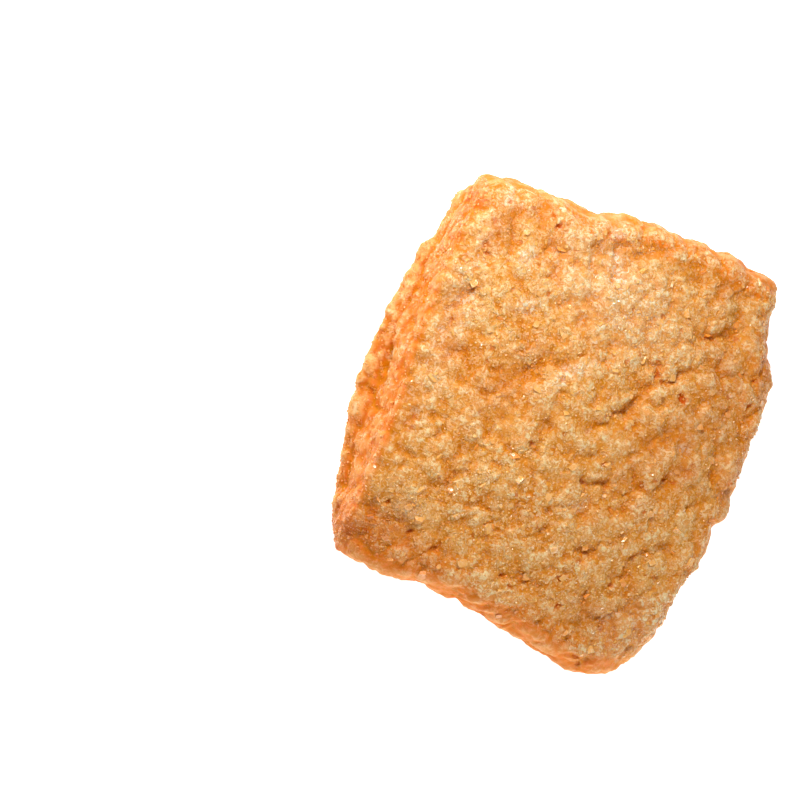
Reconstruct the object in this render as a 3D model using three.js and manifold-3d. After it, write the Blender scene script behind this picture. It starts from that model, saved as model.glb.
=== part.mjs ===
// Lemon biscuit: one thick, almost square piece of short dough with a lumpy, sugared top.
// A bar of dough lay along X. Its front and back rolled over in the oven, its left side was
// cut and stands on a rough foot, and its right side broke off.
// Lengths are millimetres, +Z is up, and the origin is the middle of the flat base.
import * as THREE from "three";
import { mergeVertices } from "three/addons/utils/BufferGeometryUtils.js";
import Module from "manifold-3d";

// Driving dimensions.
const CROWN_HEIGHT = 11.1; // top of the dome, before its lumps
const SHOULDER_HEIGHT = 8.1; // where the dome has run out at the sides
const DOME_HALF_WIDTH = 23; // middle to where the dome runs out, along X
const DOME_HALF_LENGTH = 26; // the same along Y
const RIDGE_X = -20.8; // sharp shoulder over the cut side, at its front
const RIDGE_BOW = 0.9; // how much further out the shoulder lies along its middle
const CORNER_DROP = 1.6; // the front-left corner hangs this much lower than the shoulder
const CORNER_MIDDLE = [-20, -22]; // middle of that drop
const CORNER_RADIUS = 6; // and how far it reaches
const LEAST_WALL_REACH = -0.4; // the cut side flares out past its shoulder, or tucks in this far
const BASE_FADE = 1.4; // relief fades out over this height above the flat base
const LUMP_TURN = THREE.MathUtils.degToRad(52); // the crumb's lumps run this way from +X
const GRAIN_SIZES = [0.75, 1.15]; // the largest sugar grains, smallest and largest
const GRAIN_RISE = 0.06; // share of its size that a grain's middle lies over the crumb
const GRAIN_COUNT = 92;

// The grid: square rings from the middle of the top out to the edge of the base.
const GRID_CELLS = 60;
const TOP_SHARE = 0.68; // share of the rings that makes the top, inside the rim

// The outline at its widest, counter-clockwise; each side starts with its corner.
const OUTLINE = {
  front: [
    [-19.4, -23], [-17.6, -23.9], [-13, -24.1], [-8, -23.7],
    [-3, -24.1], [2.6, -24.8], [8.4, -25.6], [13.8, -26.4],
  ],
  right: [
    [17.9, -24.3], [20.6, -19.6], [21.7, -14.3], [22.8, -7.4],
    [23.6, 0.3], [23.4, 8], [22.4, 15], [20.5, 20],
  ],
  back: [
    [19.1, 25.1], [14.4, 26.3], [9, 26.5], [3.5, 26.1],
    [-1, 25.6], [-6, 24.3], [-11.5, 24.1], [-16.8, 23.7],
  ],
  left: [
    [-19.8, 22.3], [-21.3, 18.4], [-21.8, 14], [-22.8, 12], [-23.4, 6.5],
    [-23.8, 0], [-23.5, -7.5], [-22, -15], [-20.6, -20.6],
  ],
};
const SIDES = [OUTLINE.front, OUTLINE.right, OUTLINE.back, OUTLINE.left];
const OUTLINE_POINTS = SIDES.flat();

// Side profiles at ten stations, from the rim down to the base: the share of the rim's height
// that every side has there, and each side's inset from the outline.
const STATION_HEIGHTS = [1, 0.985, 0.945, 0.84, 0.66, 0.49, 0.34, 0.23, 0.12, 0];
const ROLLED_INSETS = [5.2, 3.7, 2.4, 1.2, 0.35, 0, 0.05, 0.3, 0.7, 1.3];
const TORN_INSETS = [4.4, 3.2, 2.2, 1.3, 0.4, 0, 0.4, 0.45, 0.8, 1.5];
const CUT_ROUNDING = [2.6, 1.1, 0.15, 0, 0, 0, 0, 0, 0, 0.1];
const CUT_REACHES = [1, 1, 1, 0.97, 0.9, 0.8, 0.64, 0.28, 0, 0.1]; // share of the wall's reach added

// Dents of the top that are larger than its crumb: middle x and y, half length, half width,
// turn from +X in degrees, and depth. A negative depth is a swelling.
const DENTS = [
  [-6.2, 5.2, 5, 1.5, 50, 0.9],
  [-10.2, 1.2, 3.4, 1.5, 40, 0.7],
  [-12.2, -11.2, 4, 1, 73, 0.7],
  [-8, -13.5, 3.4, 1.1, 68, 0.5],
  [5.2, 5.2, 2.9, 1, 75, 0.6],
  [9.3, 1.9, 2.6, 1.2, 42, 0.75],
  [14.6, -2.2, 3.2, 1.3, 38, 0.75],
  [13.4, -14.2, 3.2, 1.3, 75, 0.8],
  [13.8, 17.8, 3.2, 1.1, 55, 0.7],
  [11.2, 22.2, 2.2, 1, 50, 0.6],
  [15.8, 22.4, 1.6, 1.2, 40, 0.7],
  [-4.6, 21.5, 2.6, 1, 85, 0.55],
  [-15, 16.8, 2.8, 1.2, 60, 0.6],
  [-5, 12.2, 2.8, 1.1, 52, 0.6],
  [-17.8, 2.2, 1.4, 1.3, 0, 0.4],
  [8, 9.4, 2.5, 1, 30, 0.6],
  [12.5, 12.4, 2.6, 1.1, 20, 0.6],
  [20, 9.8, 1.8, 1.3, 60, 0.6],
  [19.6, 17.6, 1.6, 1.2, 60, 0.9],
  [-16.2, -5.8, 1.8, 1, 40, 0.45],
  [5, -5, 2.4, 1.2, 30, 0.55],
  [0.8, -11.4, 2.2, 1, 60, 0.5],
  [6.4, -13.4, 1.8, 1, 30, 0.5],
  [1.4, -19.4, 2.2, 1.1, 0, 0.6],
  [7.2, -20.2, 1.8, 1, 0, 0.5],
  [-19.4, -20.6, 3.4, 2.4, 40, 0.9],
  [-14, -19.6, 2, 1.2, 30, 0.6],
  [5.4, -23.6, 1.8, 1.2, 40, 0.5],
  [-3.6, -2.8, 2.2, 1, 50, 0.5],
  [-3.6, 4.2, 3.2, 1, 50, -0.35],
  [2, -1, 2.4, 1.4, 30, -0.35],
  [-12.9, 15.2, 1.6, 1, 60, -0.3],
  [4, -20.8, 1.3, 1.1, 60, -0.35],
  [6.8, 6.6, 2, 1.2, 50, -0.3],
  [11.4, 0, 1.8, 1.1, 50, -0.3],
  [-1.6, 22.6, 1.4, 1.1, 60, -0.3],
];

/** Smooth step from 0 at low to 1 at high. */
function ramp(low, high, value) {
  return THREE.MathUtils.smoothstep(value, low, high);
}

/** Repeatable draw from 0 to 1 for three whole numbers. */
function draw(i, j, k) {
  const wave = Math.sin(i * 127.1 + j * 311.7 + k * 74.7) * 43758.5453;
  return wave - Math.floor(wave);
}

/** Smooth noise from -1 to 1: draws at whole numbers, eased in between. */
function noise(x, y, z) {
  const corner = [Math.floor(x), Math.floor(y), Math.floor(z)];
  const part = [x - corner[0], y - corner[1], z - corner[2]];
  const ease = part.map((f) => f * f * (3 - 2 * f));
  let sum = 0;
  for (let n = 0; n < 8; n++) {
    const step = [n & 1, (n >> 1) & 1, n >> 2];
    const share = step.reduce((s, up, axis) => s * (up ? ease[axis] : 1 - ease[axis]), 1);
    sum += share * draw(corner[0] + step[0], corner[1] + step[1], corner[2] + step[2]);
  }
  return 2 * sum - 1;
}

/** Distance from a point to the nearest of one scattered point in each unit cell. */
function cellDistance(x, y, z) {
  const cell = [Math.floor(x), Math.floor(y), Math.floor(z)];
  let nearest = Infinity;
  for (let n = 0; n < 27; n++) {
    const i = cell[0] + (n % 3) - 1;
    const j = cell[1] + (Math.floor(n / 3) % 3) - 1;
    const k = cell[2] + Math.floor(n / 9) - 1;
    const away = [i + draw(i, j, k) - x, j + draw(j, k, i + 17) - y, k + draw(k, i, j + 31) - z];
    nearest = Math.min(nearest, Math.hypot(...away));
  }
  return nearest;
}

/** Value between b and c at share f of the way, on a smooth curve through a, b, c and d. */
function cubic(a, b, c, d, f) {
  return b + 0.5 * f * (c - a + f * (2 * a - 5 * b + 4 * c - d + f * (3 * (b - c) + d - a)));
}

/** Point of the closed outline, where turn counts sides from 0 to 4. */
function outlinePoint(turn) {
  const side = Math.floor(turn) % 4;
  const before = SIDES.slice(0, side).reduce((sum, points) => sum + points.length, 0);
  const along = (turn - Math.floor(turn)) * SIDES[side].length;
  const first = before + Math.floor(along);
  const count = OUTLINE_POINTS.length;
  const near = [-1, 0, 1, 2].map((step) => OUTLINE_POINTS[(first + step + count) % count]);
  return [0, 1].map((axis) => cubic(...near.map((point) => point[axis]), along - Math.floor(along)));
}

/** Value of one number per station at t, from 0 at the rim to 1 at the base. */
function stationValue(values, t) {
  const last = values.length - 1;
  const k = Math.min(Math.floor(t * last), last - 1);
  const [b, c] = [values[k], values[k + 1]];
  const a = k > 0 ? values[k - 1] : 2 * b - c;
  const d = k + 2 <= last ? values[k + 2] : 2 * c - b;
  return cubic(a, b, c, d, t * last - k);
}

/** Where the sharp shoulder over the cut side lies along X. */
function ridgeX(y) {
  return RIDGE_X - RIDGE_BOW * ramp(-8, 2, y) * (1 - 0.4 * ramp(8, 16, y));
}

/** Insets along X and along Y from an outline point, t from the rim to the base. */
function insets(a, [edgeX, edgeY], t) {
  const reach = Math.max(LEAST_WALL_REACH, ridgeX(edgeY) - edgeX);
  const cut = stationValue(CUT_ROUNDING, t) + reach * stationValue(CUT_REACHES, t);
  return [a < 0 ? cut : stationValue(TORN_INSETS, t), stationValue(ROLLED_INSETS, t)];
}

/** Height of the smooth dome over a point, lower at its hanging corner. */
function domeHeight(x, y) {
  const across = 1 - Math.min(1, Math.abs(x / DOME_HALF_WIDTH) ** 2.3);
  const along = 1 - Math.min(1, Math.abs(y / DOME_HALF_LENGTH) ** 2.5);
  const fromCorner = Math.hypot(x - CORNER_MIDDLE[0], y - CORNER_MIDDLE[1]) / CORNER_RADIUS;
  const drop = CORNER_DROP * Math.exp(-(fromCorner ** 2));
  return SHOULDER_HEIGHT + (CROWN_HEIGHT - SHOULDER_HEIGHT) * across * along - drop;
}

/** The turn round the outline that square coordinates lie at, as seen from the middle. */
function squareTurn(a, b) {
  if (a === 0 && b === 0) return 0;
  if (-b >= Math.abs(a)) return (a / -b + 1) / 2;
  if (a >= Math.abs(b)) return 1 + (b / a + 1) / 2;
  if (b >= Math.abs(a)) return 2 + (1 - a / b) / 2;
  return (3 + (1 - b / -a) / 2) % 4;
}

/** Point of the smooth body at square coordinates from -1 to 1, without relief. */
function bodyPoint(a, b) {
  const ring = Math.max(Math.abs(a), Math.abs(b), 1e-6);
  const edge = outlinePoint(squareTurn(a, b));
  const t = Math.max(0, (ring - TOP_SHARE) / (1 - TOP_SHARE));
  const inward = [-a / ring, -b / ring];
  const moved = (inset) => edge.map((value, axis) => value + inset[axis] * inward[axis]);
  const rim = moved(insets(a, edge, 0));
  if (ring <= TOP_SHARE) {
    const [x, y] = rim.map((value) => value * ring / TOP_SHARE);
    return new THREE.Vector3(x, y, domeHeight(x, y));
  }
  const [x, y] = moved(insets(a, edge, t));
  return new THREE.Vector3(x, y, stationValue(STATION_HEIGHTS, t) * domeHeight(...rim));
}

/** Outward normal of the smooth body at square coordinates. */
function bodyNormal(a, b) {
  const step = 1 / GRID_CELLS;
  const low = (value) => Math.max(-1, value - step);
  const high = (value) => Math.min(1, value + step);
  const alongA = bodyPoint(high(a), b).sub(bodyPoint(low(a), b));
  const alongB = bodyPoint(a, high(b)).sub(bodyPoint(a, low(b)));
  return alongA.cross(alongB).normalize();
}

/** How much a point lies on the cut side, from 0 on the other sides to 1. */
function cutShare(a, b) {
  return a < 0 ? ramp(0.97, 1, -a / Math.max(Math.abs(b), -a)) : 0;
}

/** How lumpy the crumb is: full on top and at the break, less on the rolls, least on the cut wall. */
function lumpiness(a, b, height) {
  const foot = 1 - ramp(2.8, 3.8, height);
  const rolled = Math.abs(b) > Math.abs(a) ? 0.6 : 1;
  const side = THREE.MathUtils.lerp(rolled, 0.2 + 0.8 * foot, cutShare(a, b));
  const ring = Math.max(Math.abs(a), Math.abs(b));
  return THREE.MathUtils.lerp(1, side, ramp(TOP_SHARE + 0.05, TOP_SHARE + 0.1, ring));
}

/** Depth of all the dents at a point of the top. */
function dentDepth(x, y) {
  const [bentX, bentY] = [x + 0.5 * noise(x / 2.4, y / 2.4, 3), y + 0.5 * noise(x / 2.4, y / 2.4, 8)];
  let depth = 0;
  for (const [midX, midY, halfLength, halfWidth, degrees, deepest] of DENTS) {
    const turn = THREE.MathUtils.degToRad(degrees);
    const along = ((bentX - midX) * Math.cos(turn) + (bentY - midY) * Math.sin(turn)) / halfLength;
    const across = ((bentY - midY) * Math.cos(turn) - (bentX - midX) * Math.sin(turn)) / halfWidth;
    depth += deepest * Math.exp(-(along * along) - across * across);
  }
  return depth;
}

/** Height of the crumb's lumps over the smooth body: long swells with rounder lumps on them. */
function lumpHeight({ x, y, z }) {
  const along = (x * Math.cos(LUMP_TURN) + y * Math.sin(LUMP_TURN)) / 1.5;
  const across = y * Math.cos(LUMP_TURN) - x * Math.sin(LUMP_TURN);
  const swell = 0.42 * noise(along / 4.8, across / 4.8, z / 4.8);
  const lump = 0.26 * noise(x / 2.5 + 9, y / 2.5, z / 2.5);
  const cottage = 0.5 * (0.5 - cellDistance(x / 2.6, y / 2.6, z / 2.6 + 5));
  return swell + lump + cottage;
}

/** Point of the biscuit's surface at square coordinates. */
function surfacePoint(a, b) {
  const body = bodyPoint(a, b);
  const fade = ramp(0, BASE_FADE, body.z);
  const onTop = 1 - ramp(TOP_SHARE + 0.02, TOP_SHARE + 0.16, Math.max(Math.abs(a), Math.abs(b)));
  const relief = lumpHeight(body) * lumpiness(a, b, body.z) - dentDepth(body.x, body.y) * onTop;
  return body.addScaledVector(bodyNormal(a, b), relief * fade);
}

/** The dough's closed surface: the square grid, and a flat base inside its edge. */
function doughGeometry() {
  const wide = GRID_CELLS + 1;
  const positions = [];
  const triangles = [];
  for (let row = 0; row < wide; row++) {
    for (let column = 0; column < wide; column++) {
      positions.push(...surfacePoint(2 * column / GRID_CELLS - 1, 2 * row / GRID_CELLS - 1));
    }
  }
  for (let row = 0; row < GRID_CELLS; row++) {
    for (let column = 0; column < GRID_CELLS; column++) {
      const [p, q] = [row * wide + column, (row + 1) * wide + column];
      const falling = (2 * row < GRID_CELLS) === (2 * column < GRID_CELLS);
      const split = falling ? [p, p + 1, q + 1, p, q + 1, q] : [p, p + 1, q, p + 1, q + 1, q];
      triangles.push(...split);
    }
  }
  const rim = [];
  for (let n = 0; n < GRID_CELLS; n++) rim.push(n);
  for (let n = 0; n < GRID_CELLS; n++) rim.push(n * wide + GRID_CELLS);
  for (let n = 0; n < GRID_CELLS; n++) rim.push(GRID_CELLS * wide + GRID_CELLS - n);
  for (let n = 0; n < GRID_CELLS; n++) rim.push((GRID_CELLS - n) * wide);
  const flat = rim.map((n) => new THREE.Vector2(positions[3 * n], positions[3 * n + 1]));
  for (const [p, q, r] of THREE.ShapeUtils.triangulateShape(flat, [])) {
    triangles.push(rim[p], rim[r], rim[q]);
  }
  const geometry = new THREE.BufferGeometry();
  geometry.setAttribute("position", new THREE.Float32BufferAttribute(positions, 3));
  geometry.setIndex(triangles);
  return geometry;
}

/** How much sugar lies at square coordinates: most on top, none on the cut wall and low down. */
function sugarShare(a, b) {
  const reach = TOP_SHARE + 0.13 - 0.06 * cutShare(a, b);
  return 1 - ramp(reach - 0.03, reach + 0.03, Math.max(Math.abs(a), Math.abs(b)));
}

/** The largest sugar grains: squat, turned crystals spread evenly over the sugared crumb. */
function grainGeometries() {
  const grains = [];
  for (let n = 1; grains.length < GRAIN_COUNT; n++) {
    const [a, b] = [0.7548776662, 0.5698402910].map((stride) => 2 * ((n * stride) % 1) - 1);
    if (sugarShare(a, b) < 0.3 + 0.6 * draw(n, 1, 1)) continue;
    const size = THREE.MathUtils.lerp(...GRAIN_SIZES, draw(n, 2, 3) ** 2);
    const [wide, high] = [0.7 + 0.3 * draw(n, 3, 5), 0.6 + 0.3 * draw(n, 4, 7)];
    const grain = new THREE.BoxGeometry(size, size * wide, size * high);
    grain.rotateX(2.6 * (draw(n, 6, 11) - 0.5));
    grain.rotateZ(2 * Math.PI * draw(n, 5, 9));
    const normal = bodyNormal(a, b);
    grain.applyQuaternion(new THREE.Quaternion().setFromUnitVectors(new THREE.Vector3(0, 0, 1), normal));
    grain.translate(...surfacePoint(a, b).addScaledVector(normal, GRAIN_RISE * size));
    grains.push(grain);
  }
  return grains;
}

/** A closed geometry as a solid for joining. */
function toSolid(wasm, geometry) {
  geometry.deleteAttribute("normal");
  geometry.deleteAttribute("uv");
  const merged = mergeVertices(geometry);
  const mesh = new wasm.Mesh({
    numProp: 3,
    vertProperties: new Float32Array(merged.attributes.position.array),
    triVerts: new Uint32Array(merged.index.array),
  });
  return new wasm.Manifold(mesh);
}

/** The dough with its largest sugar grains joined on, as one closed geometry. */
async function biscuitGeometry() {
  const wasm = await Module();
  wasm.setup();
  let solid = toSolid(wasm, doughGeometry());
  for (const grain of grainGeometries()) solid = solid.add(toSolid(wasm, grain));
  const joined = solid.getMesh();
  const geometry = new THREE.BufferGeometry();
  geometry.setAttribute("position", new THREE.BufferAttribute(joined.vertProperties, joined.numProp));
  geometry.setIndex(new THREE.BufferAttribute(joined.triVerts, 1));
  geometry.computeVertexNormals();
  return geometry;
}

const crumb = new THREE.MeshStandardMaterial({ color: 0xd8974a, roughness: 0.75, metalness: 0 });
const biscuit = new THREE.Mesh(await biscuitGeometry(), crumb);
biscuit.name = "biscuit";

const group = new THREE.Group();
group.add(biscuit);

export default group;
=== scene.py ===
"""Looks of the lemon biscuit: a thick, nearly square piece of short dough under baked-on sugar.

Shapes are worked out in millimetres, as functions of two square coordinates from -1 to 1, and
scaled to metres when a mesh is made. +Z is up, and the origin is the middle of the flat base.
"""

import logging
import math
from dataclasses import dataclass
from enum import Enum
from functools import cached_property
from typing import ClassVar

import bpy
import numpy as np
from bpy.types import Material, Node, NodeSocket, NodeTree, Object
from mathutils import Matrix, Vector

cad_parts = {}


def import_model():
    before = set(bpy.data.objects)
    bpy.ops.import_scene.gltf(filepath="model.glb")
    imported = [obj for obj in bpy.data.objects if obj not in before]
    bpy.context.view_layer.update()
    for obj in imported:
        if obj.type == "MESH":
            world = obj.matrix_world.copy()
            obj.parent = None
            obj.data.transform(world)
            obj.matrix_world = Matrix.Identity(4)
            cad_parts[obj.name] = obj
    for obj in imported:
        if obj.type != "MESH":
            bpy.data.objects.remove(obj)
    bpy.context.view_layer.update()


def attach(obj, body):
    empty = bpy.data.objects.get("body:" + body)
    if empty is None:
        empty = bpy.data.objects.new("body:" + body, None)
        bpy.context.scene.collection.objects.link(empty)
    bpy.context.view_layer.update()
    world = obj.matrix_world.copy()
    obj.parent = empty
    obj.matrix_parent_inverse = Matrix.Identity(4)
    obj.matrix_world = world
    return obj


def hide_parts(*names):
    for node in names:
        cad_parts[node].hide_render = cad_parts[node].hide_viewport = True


logger = logging.getLogger("biscuit")

Array = np.ndarray
Numbers = Array | float
Colour = tuple[float, float, float, float]
Row = tuple[float, ...]
Span = tuple[float, float]

MM = 0.001
BODY = "root"
NODE = "biscuit"

# The outline at its widest, counter-clockwise; each side starts with its corner.
FRONT_EDGE: tuple[Row, ...] = (
    (-19.4, -23), (-17.6, -23.9), (-13, -24.1), (-8, -23.7),
    (-3, -24.1), (2.6, -24.8), (8.4, -25.6), (13.8, -26.4),
)
RIGHT_EDGE: tuple[Row, ...] = (
    (17.9, -24.3), (20.6, -19.6), (21.7, -14.3), (22.8, -7.4),
    (23.6, 0.3), (23.4, 8), (22.4, 15), (20.5, 20),
)
BACK_EDGE: tuple[Row, ...] = (
    (19.1, 25.1), (14.4, 26.3), (9, 26.5), (3.5, 26.1),
    (-1, 25.6), (-6, 24.3), (-11.5, 24.1), (-16.8, 23.7),
)
LEFT_EDGE: tuple[Row, ...] = (
    (-19.8, 22.3), (-21.3, 18.4), (-21.8, 14), (-22.8, 12), (-23.4, 6.5),
    (-23.8, 0), (-23.5, -7.5), (-22, -15), (-20.6, -20.6),
)

# Side profiles at ten stations, from the rim down to the base: the share of the rim's height
# that every side has there, and each side's inset from the outline.
STATION_HEIGHTS: Row = (1, 0.985, 0.945, 0.84, 0.66, 0.49, 0.34, 0.23, 0.12, 0)
ROLLED_INSETS: Row = (5.2, 3.7, 2.4, 1.2, 0.35, 0, 0.05, 0.3, 0.7, 1.3)
TORN_INSETS: Row = (4.4, 3.2, 2.2, 1.3, 0.4, 0, 0.4, 0.45, 0.8, 1.5)
CUT_ROUNDING: Row = (2.6, 1.1, 0.15, 0, 0, 0, 0, 0, 0, 0.1)
CUT_REACHES: Row = (1, 1, 1, 0.97, 0.9, 0.8, 0.64, 0.28, 0, 0.1)

# Dents of the top that are larger than its crumb: middle x and y, half length, half width,
# turn from +X in degrees, and depth. A negative depth is a swelling.
DENTS: tuple[Row, ...] = (
    (-6.2, 5.2, 5, 1.5, 50, 0.9),
    (-10.2, 1.2, 3.4, 1.5, 40, 0.7),
    (-12.2, -11.2, 4, 1, 73, 0.7),
    (-8, -13.5, 3.4, 1.1, 68, 0.5),
    (5.2, 5.2, 2.9, 1, 75, 0.6),
    (9.3, 1.9, 2.6, 1.2, 42, 0.75),
    (14.6, -2.2, 3.2, 1.3, 38, 0.75),
    (13.4, -14.2, 3.2, 1.3, 75, 0.8),
    (13.8, 17.8, 3.2, 1.1, 55, 0.7),
    (11.2, 22.2, 2.2, 1, 50, 0.6),
    (15.8, 22.4, 1.6, 1.2, 40, 0.7),
    (-4.6, 21.5, 2.6, 1, 85, 0.55),
    (-15, 16.8, 2.8, 1.2, 60, 0.6),
    (-5, 12.2, 2.8, 1.1, 52, 0.6),
    (-17.8, 2.2, 1.4, 1.3, 0, 0.4),
    (8, 9.4, 2.5, 1, 30, 0.6),
    (12.5, 12.4, 2.6, 1.1, 20, 0.6),
    (20, 9.8, 1.8, 1.3, 60, 0.6),
    (19.6, 17.6, 1.6, 1.2, 60, 0.9),
    (-16.2, -5.8, 1.8, 1, 40, 0.45),
    (5, -5, 2.4, 1.2, 30, 0.55),
    (0.8, -11.4, 2.2, 1, 60, 0.5),
    (6.4, -13.4, 1.8, 1, 30, 0.5),
    (1.4, -19.4, 2.2, 1.1, 0, 0.6),
    (7.2, -20.2, 1.8, 1, 0, 0.5),
    (-19.4, -20.6, 3.4, 2.4, 40, 0.9),
    (-14, -19.6, 2, 1.2, 30, 0.6),
    (5.4, -23.6, 1.8, 1.2, 40, 0.5),
    (-3.6, -2.8, 2.2, 1, 50, 0.5),
    (-3.6, 4.2, 3.2, 1, 50, -0.35),
    (2, -1, 2.4, 1.4, 30, -0.35),
    (-12.9, 15.2, 1.6, 1, 60, -0.3),
    (4, -20.8, 1.3, 1.1, 60, -0.35),
    (6.8, 6.6, 2, 1.2, 50, -0.3),
    (11.4, 0, 1.8, 1.1, 50, -0.3),
    (-1.6, 22.6, 1.4, 1.1, 60, -0.3),
)

# Holes that single crumbs left: middle x and y, half length, half width, turn in degrees, depth.
PITS: tuple[Row, ...] = (
    (-10.8, 20.5, 0.6, 0.38, 20, 0.7),
    (10.8, 7.7, 0.7, 0.45, -35, 0.8),
    (6.6, 9.2, 0.5, 0.4, 10, 0.6),
    (4.6, -2.9, 0.45, 0.3, 10, 0.5),
    (-4.8, -4.1, 0.4, 0.35, 0, 0.5),
    (-1.6, -19.5, 0.5, 0.25, -20, 0.6),
    (-0.2, -20.1, 0.4, 0.25, 20, 0.6),
    (4.8, -17.2, 0.5, 0.25, -10, 0.5),
    (11.6, -15.7, 0.45, 0.3, 40, 0.5),
    (-10.4, -19.6, 0.45, 0.2, 0, 0.5),
    (-13.8, -18.7, 0.5, 0.25, 20, 0.6),
    (-17.4, -16.6, 0.35, 0.25, 60, 0.5),
    (2.9, -5.8, 0.35, 0.25, 0, 0.5),
    (10.1, -3.6, 0.35, 0.25, 30, 0.5),
    (12.8, -1.9, 0.4, 0.3, 50, 0.5),
    (6.1, -20.1, 0.5, 0.3, 10, 0.5),
    (12.7, -20.8, 0.45, 0.25, 10, 0.5),
    (0.8, 15, 0.35, 0.3, 0, 0.4),
    (-0.4, 22.4, 0.35, 0.25, 70, 0.4),
    (-4.7, 22.2, 0.35, 0.3, 0, 0.4),
    (-18.3, 15, 0.4, 0.3, 30, 0.4),
    (-17.9, 14, 0.35, 0.3, 0, 0.4),
    (-17.6, 20.4, 0.4, 0.25, 10, 0.4),
    (-11.6, 15.3, 0.35, 0.3, 0, 0.4),
    (-13.6, 11.3, 0.35, 0.25, 30, 0.4),
    (-18.8, 5.7, 0.4, 0.3, 60, 0.4),
    (-22.7, 8.5, 0.4, 0.3, 80, 0.4),
    (19.4, 13.3, 0.45, 0.3, 30, 0.5),
    (19.6, 10.4, 0.45, 0.3, 70, 0.5),
)

# Places that the oven browned more than the rest: middle x and y, half length, half width, turn, share.
TOASTED: tuple[Row, ...] = (
    (-17.4, 17.6, 2.6, 1.6, 70, 0.75),
    (-17.6, 2.5, 1.6, 1.3, 40, 0.6),
    (-18.6, -19.6, 4, 2.6, 30, 1),
    (-12.5, -20, 3.4, 1.5, 0, 0.7),
    (14.5, 0, 1.6, 0.9, 30, 0.7),
    (20.5, 14.5, 2.4, 1.3, 100, 0.6),
    (11.5, 22, 3, 1.4, 60, 0.45),
    (-9, 6.5, 3, 1.3, 50, 0.4),
    (10, -19.5, 4, 1.6, 10, 0.45),
    (21.5, 2, 3.5, 1.3, 95, 0.4),
    (7.5, -3, 3.4, 1.3, 35, 0.3),
    (16, 10, 9, 4.5, 95, 0.45),
    (10.5, 2.4, 4, 2.4, 40, 0.4),
    (-10.5, 0.4, 4, 2.6, 50, 0.45),
    (9, -7, 6, 3, 40, 0.2),
)

# Paler places, most where the sugar lies thick and white: middle x and y, half length, half width, turn,
# share.
WHITE_PATCHES: tuple[Row, ...] = (
    (-13.4, 15.5, 1.4, 0.9, 60, 0.9),
    (-11.1, 10.4, 1.6, 0.9, 40, 0.9),
    (-3.5, 22.7, 0.8, 0.7, 0, 1),
    (-3.2, 24.3, 0.7, 0.6, 0, 0.9),
    (-2.9, 19.9, 0.9, 0.7, 60, 0.8),
    (-1.8, 17.8, 1.1, 0.8, 80, 1),
    (-3.4, 5.2, 3.4, 0.9, 50, 1),
    (-14.6, -16.4, 1.4, 0.9, 0, 0.6),
    (3.4, -8.6, 1.8, 0.8, 30, 0.6),
    (13.4, 2.4, 1.2, 0.8, 30, 0.6),
    (18.6, 20.4, 1.2, 0.9, 60, 0.6),
    (-17.6, 20.9, 1, 0.7, 60, 0.7),
    (-2, 16, 11, 6, -15, 0.5),
    # A long strip along the cut side's ridge, made paler.
    (-18.6, 6, 13, 1.8, 90, 0.45),
    (16, -19, 6, 3, 50, 0.35),
)


class Zone(Enum):
    """Named masks, each kept as a point attribute of a mesh."""

    # Painted shade: a deep amber where a point lies below its surroundings.
    HOLLOW_SHADE = "hollow_shade"
    # Paler where a point stands above its surroundings: partly sugar, partly painted light.
    CREST_SUGAR_AND_LIGHT = "crest_sugar_and_light"
    BAKED = "baked"
    WALL = "wall"
    FOOT = "foot"
    RIM = "rim"
    # Painted shade in the crevice over the cut side's foot, and a deeper back of the wall.
    CREVICE = "crevice"
    # Browned places, and low sides made darker, partly browning and partly painted shade.
    TOASTED = "toasted_and_low_shade"
    # Painted shade: dark red in the holes of the top.
    PIT_SHADE = "pit_shade"
    FROST = "frost"
    WHITE = "white"
    TINT = "tint"


def linear(red: float, green: float, blue: float) -> Colour:
    """Linear colour of a display colour.

    A channel is its share of 255; below 0.04045 that over 12.92, above it
    ((share + 0.055) / 1.055) to the power 2.4.

    Args:
        red: Red from 0 to 255.
        green: Green from 0 to 255.
        blue: Blue from 0 to 255.

    Returns:
        The colour with an alpha of 1.
    """
    shares = [channel / 255 for channel in (red, green, blue)]
    lit = [s / 12.92 if s < 0.04045 else ((s + 0.055) / 1.055) ** 2.4 for s in shares]
    return (lit[0], lit[1], lit[2], 1.0)


def ramp(low: float, high: float, value: Array) -> Array:
    """Smooth step: 3 t^2 - 2 t^3, where t is the share of the way from low to high, held to 0 and 1."""
    share = np.clip((value - low) / (high - low), 0.0, 1.0)
    return share * share * (3.0 - 2.0 * share)


def draw(i: Numbers, j: Numbers, k: Numbers) -> Numbers:
    """Repeatable draw from 0 to 1: the fraction of a large multiple of the sine of a mix of i, j and k."""
    wave = np.sin(i * 127.1 + j * 311.7 + k * 74.7) * 43758.5453
    return wave - np.floor(wave)


def noise(x: Array, y: Array, z: Numbers) -> Array:
    """Smooth noise from -1 to 1.

    Each whole-number corner has a draw, and a point takes the eight draws round it, weighted by
    3 t^2 - 2 t^3 of its share of the way along each axis.

    Args:
        x: First coordinates.
        y: Second coordinates.
        z: Third coordinates.

    Returns:
        One value a point.
    """
    corner = [np.floor(value) for value in (x, y, z)]
    part = [value - low for value, low in zip((x, y, z), corner)]
    ease = [f * f * (3.0 - 2.0 * f) for f in part]
    total = np.zeros(np.shape(x))
    for n in range(8):
        step = (n & 1, (n >> 1) & 1, n >> 2)
        share = np.ones(np.shape(x))
        for up, eased in zip(step, ease):
            share = share * (eased if up else 1.0 - eased)
        total += share * draw(corner[0] + step[0], corner[1] + step[1], corner[2] + step[2])
    return 2.0 * total - 1.0


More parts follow.
